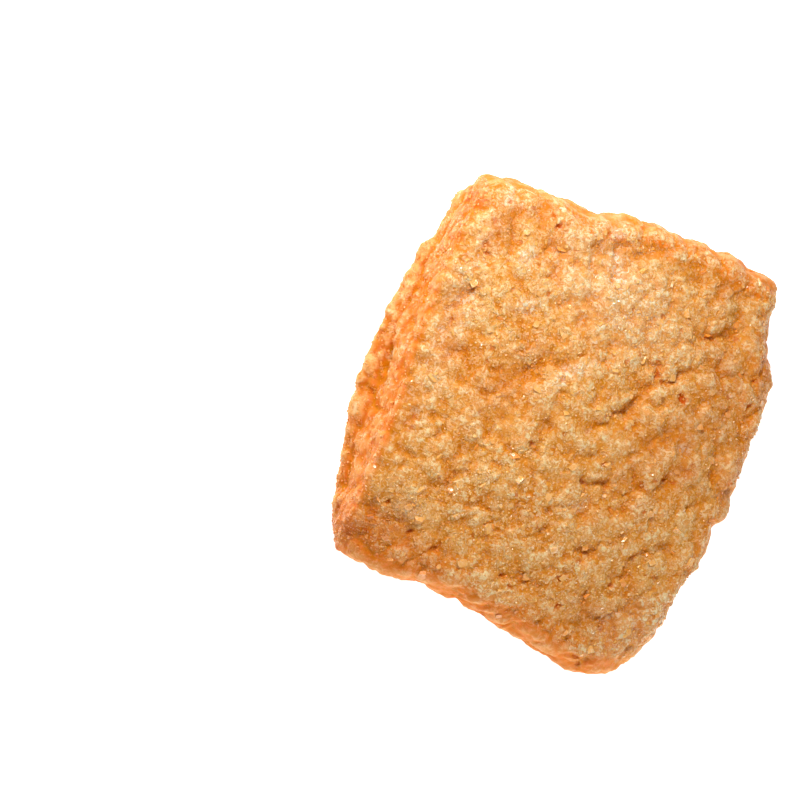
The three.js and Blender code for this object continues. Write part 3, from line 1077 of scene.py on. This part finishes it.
@dataclass(frozen=True)
class SugarFinish(Finish):
    """Sugar crystals, partly melted in: clear to amber, smooth and glinting, painted darker in hollows as
    shade.

    A pair says how strong something is where its mask is 0 and where it is 1. Sizes are in
    millimetres, and scatter_depth is in metres.
    """

    clear: Colour = linear(255, 218, 176)
    amber: Colour = linear(250, 184, 100)
    hollow_shade: Colour = linear(244, 148, 34)
    baked: Colour = linear(252, 158, 80)
    toasted_and_low_shade: Colour = linear(206, 122, 58)
    hollow_cover: float = 0.8
    baked_cover: float = 0.7
    toasted_cover: float = 0.7
    clear_cover: Span = (0.3, 1.0)
    cloud_size: float = 0.45
    facet_size: float = 0.3
    facet_slope: float = 0.22
    roughness: Span = (0.1, 0.3)
    refraction: float = 1.54
    scatter: float = 1.0
    scatter_ways: Row = (1.0, 1.0, 1.0)
    scatter_depth: float = 0.0001
    title: ClassVar[str] = "sugar"

    def sockets(self, nodes: Nodes, effects: Effects) -> dict[str, object]:
        """Values and linked sockets of the shader: cloudy colour, smooth faces and scattering.

        Args:
            nodes: The material's node tree.
            effects: The shared node groups.

        Returns:
            Values or sockets, by input name with _ for a space.
        """
        place = nodes.millimetres()
        cloud = nodes.use(effects.wisps, place, self.cloud_size).outputs["Mask"]
        facets = nodes.use(effects.facets, place, self.facet_size).outputs["Height"]
        pale = nodes.calc("MULTIPLY", nodes.between(nodes.mask(Zone.TINT), self.clear_cover), cloud)
        colour = nodes.blend(pale, self.amber, self.clear)
        # Painted shade: grains in the crust's hollows turn a darker amber.
        colour = nodes.layer(colour, Zone.HOLLOW_SHADE, self.hollow_cover, self.hollow_shade)
        colour = nodes.layer(colour, Zone.BAKED, self.baked_cover, self.baked)
        colour = nodes.layer(colour, Zone.TOASTED, self.toasted_cover, self.toasted_and_low_shade)
        return {
            "Base_Color": colour,
            "Roughness": nodes.between(cloud, self.roughness),
            "Normal": nodes.raised(nodes.calc("MULTIPLY", facets, self.facet_slope)),
            "IOR": self.refraction,
            "Subsurface_Weight": self.scatter,
            "Subsurface_Radius": self.scatter_ways,
            "Subsurface_Scale": self.scatter_depth,
        }


@dataclass(frozen=True)
class Crust:
    """The dough's closed skin: a square grid over top and sides, and a coarser one under the base.

    Lengths are millimetres, and a blur is counted in passes. The fields from cut_dust to
    pit_contrast say how strong the masks are, and a pair of them holds for the torn side and for a
    rolled one. Each pair after those says where a smooth step is 0 and where it is 1: specks and
    patches in the noise, a way in the share of the way down the side, pit_ring in the ring past the
    rim's, deepening_y along Y, and hollow_sunk and crest_sunk in the depth below the surroundings.
    """

    dough: Dough
    cells: int = 300
    base_ratio: int = 5
    base_margin: float = 0.5
    base_dimple: float = 0.12
    short_blur: int = 9
    long_blur: int = 100
    short_share: float = 0.65
    fine_size: float = 0.7
    cut_dust: float = 0.9
    side_dust: Span = (0.5, 0.4)
    bare_loss: float = 0.7
    patch_loss: float = 0.3
    shoulder_brown: Span = (0.5, 0.9)
    low_side_darkening: float = 0.8
    back_wall_deepening: float = 0.8
    pit_contrast: float = 2.4
    wall_specks: Span = (-0.3, 0.5)
    foot_specks: Span = (-0.1, 0.6)
    side_specks: Span = (-0.2, 0.6)
    bare_patches: Span = (0.2, 0.6)
    rim_way: Span = (0.84, 0.9)
    side_dust_way: Span = (0.3, 0.5)
    shoulder_way: Span = (0.02, 0.25)
    low_darker_way: Span = (0.4, 0.75)
    toasted_way: Span = (0.8, 0.6)
    pit_ring: Span = (0.16, 0.02)
    deepening_y: Span = (9, 19)
    hollow_sunk: Span = (0.02, 0.2)
    crest_sunk: Span = (0.03, -0.14)

    def build(self, finish: Material) -> Object:
        """Makes the skin and its masks; the underside is baked all over.

        Args:
            finish: The crust's material.

        Returns:
            The object, which stands for the solid.
        """
        top = self.patch.surface
        base, base_faces = self.base(top)
        faces = self.grid_faces(self.cells) + base_faces
        skin = mesh_object("crust", np.concatenate([top, base]), faces, smooth=True)
        skin.data.materials.append(finish)
        for zone, values in self.masks().items():
            under = 1.0 if zone is Zone.BAKED else 0.0
            keep_values(skin, zone, np.concatenate([values, np.full(len(base), under)]))
        return skin

    @cached_property
    def patch(self) -> Patch:
        """The dough at the points of the grid over top and sides, row by row."""
        return Patch(self.dough, *self.grid(self.cells))

    def grid(self, cells: int) -> list[Array]:
        """Square coordinates of a grid of so many cells a side, row by row."""
        axis = np.linspace(-1, 1, cells + 1)
        return [values.ravel() for values in np.meshgrid(axis, axis)]

    def grid_faces(self, cells: int) -> list[list[int]]:
        """Quads of a square grid of points, facing up.

        Args:
            cells: Cells a side.

        Returns:
            Point numbers of each quad, row by row.
        """
        wide = cells + 1
        p = (np.arange(cells)[:, None] * wide + np.arange(cells)).ravel()
        return np.stack([p, p + 1, p + 1 + wide, p + wide], -1).tolist()

    def loop(self, cells: int) -> Array:
        """Edge of a square grid of points.

        Args:
            cells: Cells a side.

        Returns:
            Point numbers, counter-clockwise from the first corner.
        """
        wide = cells + 1
        n = np.arange(cells)
        return np.concatenate([n, n * wide + cells, cells * wide + cells - n, (cells - n) * wide])

    def base(self, top: Array) -> tuple[Array, list[list[int]]]:
        """The underside: a coarse grid inside the base's edge, and the strip that joins the two.

        A point of the grid is the edge's point at its turn, drawn in by the margin and scaled by
        its ring. It rises by a dimple of noise of 2.2 mm away from the edge.

        Args:
            top: Points of the top and sides, row by row.

        Returns:
            The points, and the faces numbered after those of the top.
        """
        cells = self.cells // self.base_ratio
        a, b = self.grid(cells)
        ring = self.dough.ring(a, b)
        edge = self.dough.body(a / ring, b / ring)
        edge[..., :2] -= self.base_margin * np.stack([a / ring, b / ring], -1)
        points = edge * ring[..., None]
        dimple = 0.5 + 0.5 * noise(points[:, 0] / 2.2, points[:, 1] / 2.2, 0.0)
        points[:, 2] = self.base_dimple * dimple * ramp(1.0, 0.9, ring)
        quads = (np.array(self.grid_faces(cells)) + len(top))[:, ::-1]
        outer, inner = self.loop(self.cells), self.loop(cells) + len(top)
        fine = outer.reshape(-1, self.base_ratio)
        fine = np.concatenate([fine, np.roll(outer, -1).reshape(-1, self.base_ratio)[:, -1:]], 1)
        after = np.roll(inner, -1)
        fans = [np.stack([inner, fine[:, n + 1], fine[:, n]], -1) for n in range(self.base_ratio)]
        fans.append(np.stack([inner, after, fine[:, -1]], -1))
        return points, quads.tolist() + np.concatenate(fans).tolist()

    @cached_property
    def sunk(self) -> Array:
        """How far each point of the square grid lies below its surroundings, in millimetres.

        It is the relief blurred over the grid less the relief itself, a share of it over a short
        reach and the rest over a long one. One pass of the blur is the mean of a point and its two
        neighbours, along each way of the grid.
        """
        relief = self.patch.relief.reshape(self.cells + 1, self.cells + 1)
        shares = {self.short_blur: self.short_share, self.long_blur: 1 - self.short_share}
        blurred, total = relief, np.zeros_like(relief)
        for passes in range(1, self.long_blur + 1):
            blurred = (blurred + np.roll(blurred, 1, 0) + np.roll(blurred, -1, 0)) / 3
            blurred = (blurred + np.roll(blurred, 1, 1) + np.roll(blurred, -1, 1)) / 3
            total += shares.get(passes, 0.0) * (blurred - relief)
        return total

    def masks(self) -> dict[Zone, Array]:
        """Masks over the top and sides: the patch's own shares, made patchy and wavering by noise.

        Frost is the sugar that shows: that on top, and specks of dust on the cut side and low on the
        others. Baked is the bare rolls and the browned shoulders. Browned places and the low sides,
        made darker partly as browning and partly as painted shade, share one mask. The crevice's
        mask is painted shade, 0.7 give or take 0.3, with more towards the back of the wall, whose
        colour is made deeper. Hollows carry painted shade, and crests a paler colour that is partly
        sugar and partly painted light, by how far a point lies below its surroundings.

        Returns:
            One array a zone.
        """
        patch, waver, sunk = self.patch, self.patch.waver, self.sunk.ravel()
        x, y, z = patch.places
        fine = noise(x / self.fine_size, y / self.fine_size, z / self.fine_size)
        rim = patch.foot * ramp(*self.rim_way, patch.down + 0.02 * waver)
        foot_dust = patch.foot * ramp(*self.foot_specks, fine) * (1 - rim)
        dust = self.cut_dust * (patch.wall * ramp(*self.wall_specks, fine) + foot_dust)
        side_dust = within(self.side_dust, patch.rolled) * (1 - patch.cut)
        dust += side_dust * ramp(*self.side_specks, fine) * ramp(*self.side_dust_way, patch.down)
        patchy = (1 - self.bare_loss * patch.bare) * (1 - self.patch_loss * ramp(*self.bare_patches, waver))
        frost = patch.sugar * patchy * (1 - patch.wall) + dust
        browned = ramp(*self.shoulder_way, patch.down + 0.06 * waver)
        shoulder = within(self.shoulder_brown, patch.rolled) * browned
        # Low sides made darker: partly browning, partly painted shade against the floor's glow.
        darker_low_sides = self.low_side_darkening * ramp(*self.low_darker_way, patch.down + 0.08 * waver) * (1 - patch.cut)
        toasted_and_low_shade = np.clip(spots(TOASTED, x, y), 0, 1) * ramp(*self.toasted_way, patch.down) + darker_low_sides
        # The back of the wall, towards +Y, is made a deeper orange through the crevice's colour.
        deeper_back_wall = self.back_wall_deepening * patch.wall * ramp(*self.deepening_y, y)
        # Painted shade in pits, stronger where a hole is deeper.
        pit_shade = np.clip(self.pit_contrast * patch.pits, 0, 1) * ramp(*self.pit_ring, patch.past_rim)
        return {
            # Painted shade in hollows, by how far a point lies below its surroundings.
            Zone.HOLLOW_SHADE: ramp(*self.hollow_sunk, sunk),
            # Crests: a paler colour, partly sugar and partly painted light.
            Zone.CREST_SUGAR_AND_LIGHT: ramp(*self.crest_sunk, sunk),
            Zone.BAKED: np.maximum(patch.bare, shoulder * (1 - patch.cut)),
            Zone.WALL: patch.wall,
            Zone.FOOT: patch.foot,
            Zone.RIM: rim,
            # The crevice's painted shade, and the deeper back of the wall.
            Zone.CREVICE: patch.crevice * (0.7 + 0.3 * fine) + deeper_back_wall,
            Zone.TOASTED: np.minimum(toasted_and_low_shade, 1),
            Zone.PIT_SHADE: pit_shade,
            Zone.FROST: frost,
            Zone.WHITE: np.clip(spots(WHITE_PATCHES, x + 0.4 * waver, y, 3.0), 0, 1) * frost,
        }


@dataclass(frozen=True)
class GrainKind:
    """One kind of sugar grain, with sizes in millimetres.

    Places are tried from the first number on, and those that are kept stop at the count. A grain's
    size is the least size and a draw to this power of the rest. Its middle lies over the surface
    by the rise times its size. The palest grain has this tint, from 0 for amber to 1 for clear.
    Dusted grains lie on the cut side too, and thinly on the bare rolls.
    """

    name: str
    first: int
    tries: int
    count: int
    least: float
    most: float
    power: float
    rise: float
    palest: float
    dusted: bool


GRAIN_KINDS: tuple[GrainKind, ...] = (
    GrainKind(
        name="large_sugar", first=1, tries=368, count=92, least=0.75, most=1.15,
        power=2, rise=-0.24, palest=0.6, dusted=False,
    ),
    GrainKind(
        name="small_sugar", first=1000, tries=2300, count=1500, least=0.26, most=0.5,
        power=1.8, rise=-0.24, palest=1, dusted=True,
    ),
    GrainKind(
        name="fine_sugar", first=20000, tries=9800, count=7000, least=0.15, most=0.28,
        power=1, rise=-0.1, palest=1, dusted=True,
    ),
)


@dataclass(frozen=True)
class SugarGrains:
    """Sugar crystals: the largest stand where the solid has them, the rest between.

    A crystal's depth and height are shares of its size between two ends, and it leans by up to
    half of most_lean. A place is kept where the sugar's share is over a draw between two ends. The
    ends of hollow_sunk are millimetres below the surroundings.
    """

    dough: Dough
    sunk: Array
    strides: Span = (0.7548776662, 0.5698402910)
    kept_from: Span = (0.3, 0.9)
    depths: Span = (0.7, 1.0)
    heights: Span = (0.6, 0.9)
    most_lean: float = 2.6
    foot_width: float = 0.86
    hollow_sunk: Span = (0.0, 0.2)

    def build(self, sugar: Material) -> list[Object]:
        """Makes one object for each kind of grain.

        Args:
            sugar: The grains' finish.

        Returns:
            The objects.
        """
        made = []
        for kind in GRAIN_KINDS:
            grains = self.crystals(kind)
            grains.data.materials.append(sugar)
            made.append(grains)
        return made

    def places(self, kind: GrainKind) -> tuple[Patch, Array]:
        """Evenly spread places: two fixed strides, each taken to its fraction.

        Args:
            kind: The kind of grain.

        Returns:
            The dough at the kept places, and their numbers.
        """
        n = np.arange(kind.first, kind.first + kind.tries, dtype=float)
        a, b = (2 * ((n * stride) % 1) - 1 for stride in self.strides)
        patch = Patch(self.dough, a, b)
        share = patch.dust if kind.dusted else patch.sugar
        kept = np.flatnonzero(share >= within(self.kept_from, draw(n, 1, 1)))[: kind.count]
        return Patch(self.dough, a[kept], b[kept]), n[kept]

    def crystals(self, kind: GrainKind) -> Object:
        """One mesh of turned, squat crystals on the surface.

        Each is a six-sided prism in a box of its size, turned about its own X and Z by draws, then
        stood on the surface's normal. Each draw has numbers of its own.

        Args:
            kind: The kind of grain.

        Returns:
            The object.
        """
        patch, number = self.places(kind)
        size = within((kind.least, kind.most), draw(number, 2, 3) ** kind.power)
        deep = size * within(self.depths, draw(number, 3, 5))
        high = size * within(self.heights, draw(number, 4, 7))
        tip = self.most_lean * (draw(number, 6, 11) - 0.5)
        spin = 2 * math.pi * draw(number, 5, 9)
        prism = self.prism()
        points = prism * np.stack([size, deep, high], -1)[:, None]
        x, y, z = points[..., 0], points[..., 1], points[..., 2]
        c, s = np.cos(tip)[:, None], np.sin(tip)[:, None]
        y, z = y * c - z * s, y * s + z * c
        c, s = np.cos(spin)[:, None], np.sin(spin)[:, None]
        x, y = x * c - y * s, x * s + y * c
        middle = patch.surface + patch.normal * (kind.rise * size)[:, None]
        points = self.stand(np.stack([x, y, z], -1), patch.normal) + middle[:, None]
        grains = mesh_object(kind.name, points.reshape(-1, 3), self.faces(len(size)), smooth=False)
        values = self.masks(patch, middle)
        values[Zone.TINT] = kind.palest * draw(number, 8, 13)
        for zone, shares in values.items():
            keep_values(grains, zone, np.repeat(shares, len(prism)))
        return grains

    def prism(self) -> Array:
        """The twelve points of a six-sided prism in a box of size one, narrower below."""
        hexagon = np.array(
            [(-0.5, -0.28), (-0.24, -0.5), (0.5, -0.5), (0.5, 0.28), (0.24, 0.5), (-0.5, 0.5)]
        )
        low = np.c_[hexagon * self.foot_width, np.full(6, -0.5)]
        return np.concatenate([low, np.c_[hexagon, np.full(6, 0.5)]])

    def faces(self, count: int) -> list[list[int]]:
        """Faces of prisms whose points follow each other.

        Args:
            count: How many prisms.

        Returns:
            Point numbers of each face.
        """
        ring = list(range(6))
        shape = [ring[::-1], [n + 6 for n in ring]]
        shape += [[n, (n + 1) % 6, (n + 1) % 6 + 6, n + 6] for n in ring]
        return [[n + start for n in face] for start in range(0, 12 * count, 12) for face in shape]

    def masks(self, patch: Patch, middle: Array) -> dict[Zone, Array]:
        """Masks of the places that the grains lie at.

        Args:
            patch: The dough there.
            middle: The grains' middles.

        Returns:
            One array a zone.
        """
        last = len(self.sunk) - 1
        row, column = (np.rint((way + 1) / 2 * last).astype(int) for way in (patch.b, patch.a))
        return {
            # Painted shade of the crust's hollows, read under each grain.
            Zone.HOLLOW_SHADE: ramp(*self.hollow_sunk, self.sunk[row, column]),
            Zone.BAKED: np.maximum(1 - patch.sugar, patch.bare),
            Zone.TOASTED: np.clip(spots(TOASTED, middle[:, 0], middle[:, 1]), 0, 1),
        }

    def stand(self, points: Array, normal: Array) -> Array:
        """Turns points so that +Z becomes each normal, by the shortest turn.

        Args:
            points: Points of each grain about its middle.
            normal: Unit normal of each grain.

        Returns:
            The turned points.
        """
        axis = np.stack([-normal[:, 1], normal[:, 0], np.zeros(len(normal))], -1)[:, None]
        cosine = normal[:, 2][:, None, None]
        along = np.sum(axis * points, -1, keepdims=True)
        return points * cosine + np.cross(axis, points) + axis * along / (1 + cosine)


@dataclass(frozen=True)
class Studio:
    """White floor, soft light from the back left, and the photograph's view.

    The look-at point is in millimetres, and the floor, the clip and the lights' distances and sizes
    are in metres. The pixel counts from the image's top left corner, and powers are in watts.
    """

    floor_half: float = 1.5
    look_at: tuple[float, float, float] = (-2.25, -0.8, 8.4)
    look_pixel: Span = (553.0, 424.0)
    image_side: float = 800.0
    pixels_per_mm: float = 8.6
    tilt: float = math.radians(22)
    azimuth: float = math.radians(12)
    long_side_turn: float = math.radians(68.3)
    lens: float = 120.0
    sensor: float = 36.0
    clip: Span = (0.01, 20)
    key_from: Row = (-0.6, 0.6, 0.85)
    key_distance: float = 0.13
    key_size: float = 0.055
    key_power: float = 0.181
    fill_from: Row = (0.6, -0.75, 0.28)
    fill_distance: float = 0.3
    fill_size: float = 0.25
    fill_power: float = 0.575
    world_strength: float = 0.19
    white: Colour = (1, 1, 1, 1)
    floor_colour: Colour = (0.93, 0.93, 0.93, 1)
    floor_roughness: float = 0.8
    floor_glow: float = 0.85

    def build(self) -> None:
        """Makes the floor, the lights, the world and the camera."""
        self.floor()
        self.lights()
        self.camera()
        bpy.context.scene.view_settings.view_transform = "Standard"

    def floor(self) -> None:
        """Makes the pale floor."""
        half = self.floor_half / MM
        corners = np.array([(-half, -half, 0), (half, -half, 0), (half, half, 0), (-half, half, 0)])
        floor = mesh_object("floor", corners, [[0, 1, 2, 3]], smooth=False)
        material = bpy.data.materials.new("pale floor")
        material.use_nodes = True
        shader = material.node_tree.nodes["Principled BSDF"]
        shader.inputs["Base Color"].default_value = self.floor_colour
        shader.inputs["Roughness"].default_value = self.floor_roughness
        shader.inputs["Emission Color"].default_value = self.white
        shader.inputs["Emission Strength"].default_value = self.floor_glow
        floor.data.materials.append(material)

    def lights(self) -> None:
        """Makes a small key light, a broad fill light and an even white world."""
        self.light("key", self.key_from, self.key_distance, self.key_size, self.key_power)
        self.light("fill", self.fill_from, self.fill_distance, self.fill_size, self.fill_power)
        world = bpy.data.worlds.new("studio")
        world.use_nodes = True
        background = world.node_tree.nodes["Background"]
        background.inputs["Color"].default_value = self.white
        background.inputs["Strength"].default_value = self.world_strength
        bpy.context.scene.world = world

    def light(self, name: str, come_from: Row, distance: float, size: float, power: float) -> None:
        """Makes one round light that shines on the origin.

        Args:
            name: Name of the light.
            come_from: Way from the origin to the light.
            distance: Its distance in metres.
            size: Its diameter in metres.
            power: Its power in watts.
        """
        data = bpy.data.lights.new(name, "AREA")
        data.shape = "DISK"
        data.size = size
        data.energy = power
        light = bpy.data.objects.new(name, data)
        way = Vector(come_from).normalized()
        light.location = way * distance
        light.rotation_euler = way.to_track_quat("Z", "Y").to_euler()
        bpy.context.scene.collection.objects.link(light)

    def camera(self) -> None:
        """Aims the camera so that the look-at point falls on its pixel and +Y has its turn in the image.

        The camera's way back from the point is tilted from straight up towards the azimuth. Its
        distance gives the wanted pixels a millimetre. It is rolled until +Y has its turn, then
        turned by the least turn that puts the point on its pixel.
        """
        tilt, azimuth = self.tilt, self.azimuth
        level = Vector((-math.cos(azimuth), -math.sin(azimuth), 0))
        back = level * math.sin(tilt) + Vector((0, 0, math.cos(tilt)))
        right = (-back).cross(Vector((0, 0, 1))).normalized()
        up = right.cross(-back)
        roll = math.atan2(up.y, right.y) - self.long_side_turn
        right, up = right * math.cos(roll) + up * math.sin(roll), up * math.cos(roll) - right * math.sin(roll)
        pixel = self.sensor / self.lens / self.image_side
        off_x = (self.look_pixel[0] - self.image_side / 2) * pixel
        off_y = (self.image_side / 2 - self.look_pixel[1]) * pixel
        least = Vector((off_x, off_y, -1)).normalized().rotation_difference(Vector((0, 0, -1)))
        axes = Matrix((right, up, back)).transposed() @ least.to_matrix()
        distance = self.lens / self.sensor * self.image_side / self.pixels_per_mm
        data = bpy.data.cameras.new("camera")
        data.lens, data.sensor_width = self.lens, self.sensor
        data.clip_start, data.clip_end = self.clip
        camera = bpy.data.objects.new("camera", data)
        place = (Vector(self.look_at) + back * distance) * MM
        camera.matrix_world = Matrix.Translation(place) @ axes.to_4x4()
        bpy.context.scene.collection.objects.link(camera)
        bpy.context.scene.camera = camera


def main() -> None:
    """Loads the frame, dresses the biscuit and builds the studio."""
    logging.basicConfig(level=logging.INFO, format="%(name)s: %(message)s")
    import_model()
    dough = Dough()
    effects = Effects(
        mottle=layered_group("mottle", detail=3.0, roughness=0.62, bend=0.0, edges=(0.32, 0.68)),
        wisps=layered_group("wisps", detail=4.0, roughness=0.75, bend=0.8, edges=(0.46, 0.62)),
        facets=facet_group(),
        pores=pore_group(),
    )
    sugar = SugarFinish().make(effects)

    skin = Crust(dough)
    crust = skin.build(CrustFinish().make(effects))
    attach(crust, BODY)
    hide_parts(NODE)
    logger.info("crust: %d faces", len(crust.data.polygons))
    for grains in SugarGrains(dough, skin.sunk).build(sugar):
        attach(grains, BODY)
        logger.info("%s: %d faces", grains.name, len(grains.data.polygons))

    Studio().build()


if __name__ == "__main__":
    main()
